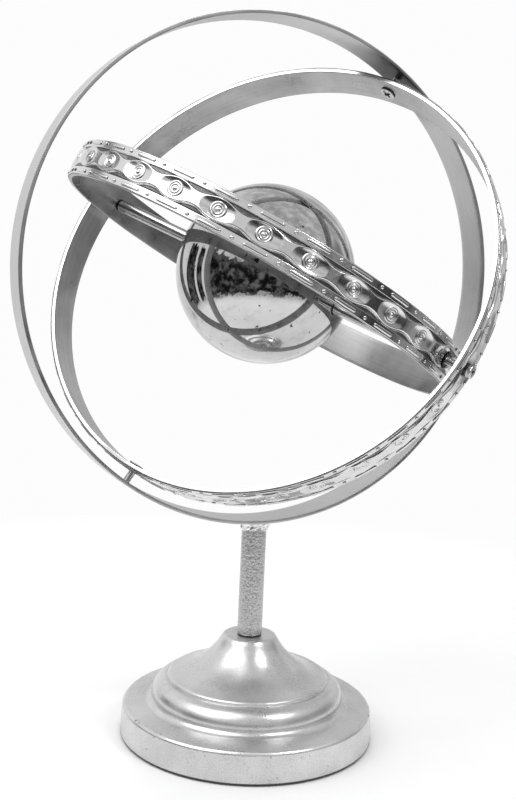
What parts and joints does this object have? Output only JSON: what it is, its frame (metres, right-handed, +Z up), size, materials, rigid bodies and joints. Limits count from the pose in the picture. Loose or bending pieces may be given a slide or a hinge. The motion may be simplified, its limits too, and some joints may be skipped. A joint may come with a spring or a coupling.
{
  "type": "gyroscope on stand",
  "caption": "Ball on an axle inside two pivoting rings, one within the other, carried by a fixed outer ring on a column with a round stepped base.",
  "frame": {"origin": "on the floor under the middle of the base, felt side down", "axes": "+Z up along the column through the rings' common centre at 260 mm, X in the plane of the outer ring, -Y towards the picture's viewer"},
  "size_m": [0.275, 0.2363, 0.3975],
  "materials": {
    "ring_satin": "satin, faintly brushed along the bar",
    "band_satin": "satin, matte inside",
    "embossed_nickel": "stamped and polished, dark in the hollows",
    "axle_steel": "polished",
    "ball_chrome": "mirror polished",
    "black_nylon": "matte black",
    "black_steel": "blackened",
    "screw_nickel": "bright plated",
    "column_silver": "silver over a rough surface",
    "weld_bead": "rough bead, silvered",
    "zinc_steel": "zinc plated",
    "base_silver": "satin silver with a few worn specks",
    "cast_iron": "as cast",
    "felt_pad": "felt"
  },
  "bodies": {
    "stand": {"outer_ring": "ring_satin", "outer_pivot_screw_upper": "screw_nickel", "outer_pivot_screw_lower": "screw_nickel", "outer_pivot_washer_upper": "black_nylon", "outer_pivot_washer_lower": "black_nylon", "column": "column_silver", "column_weld": "weld_bead", "column_insert": "zinc_steel", "base_cover": "base_silver", "base_weight": "cast_iron", "base_felt": "felt_pad", "tie_rod": "zinc_steel", "rod_nut": "zinc_steel", "rod_lock_washer": "zinc_steel", "rod_washer": "zinc_steel"},
    "middle_ring": {"middle_band": "band_satin", "middle_strip": "embossed_nickel"},
    "inner_ring": {"inner_band": "band_satin", "inner_strip": "embossed_nickel", "axle": "axle_steel", "star_washer_left": "black_steel", "star_washer_right": "black_steel", "inner_pivot_washer_left": "black_nylon", "inner_pivot_washer_right": "black_nylon", "inner_pivot_screw_left": "screw_nickel", "inner_pivot_screw_right": "screw_nickel"},
    "ball": {"ball_shell": "ball_chrome", "ball_bush_left": "black_nylon", "ball_bush_right": "black_nylon"}
  },
  "joints": [
    {"name": "middle_ring_turn", "type": "hinge", "parent": "stand", "child": "middle_ring", "pos_m": [0, 0, 0.26], "axis": [0.5606, 0, 0.8281], "continuous": true},
    {"name": "inner_ring_turn", "type": "hinge", "parent": "middle_ring", "child": "inner_ring", "pos_m": [0, 0, 0.26], "axis": [0.475, -0.8192, -0.3216], "continuous": true},
    {"name": "ball_spin", "type": "hinge", "parent": "inner_ring", "child": "ball", "pos_m": [0, 0, 0.26], "axis": [0.475, -0.8192, -0.3216], "continuous": true}
  ]
}
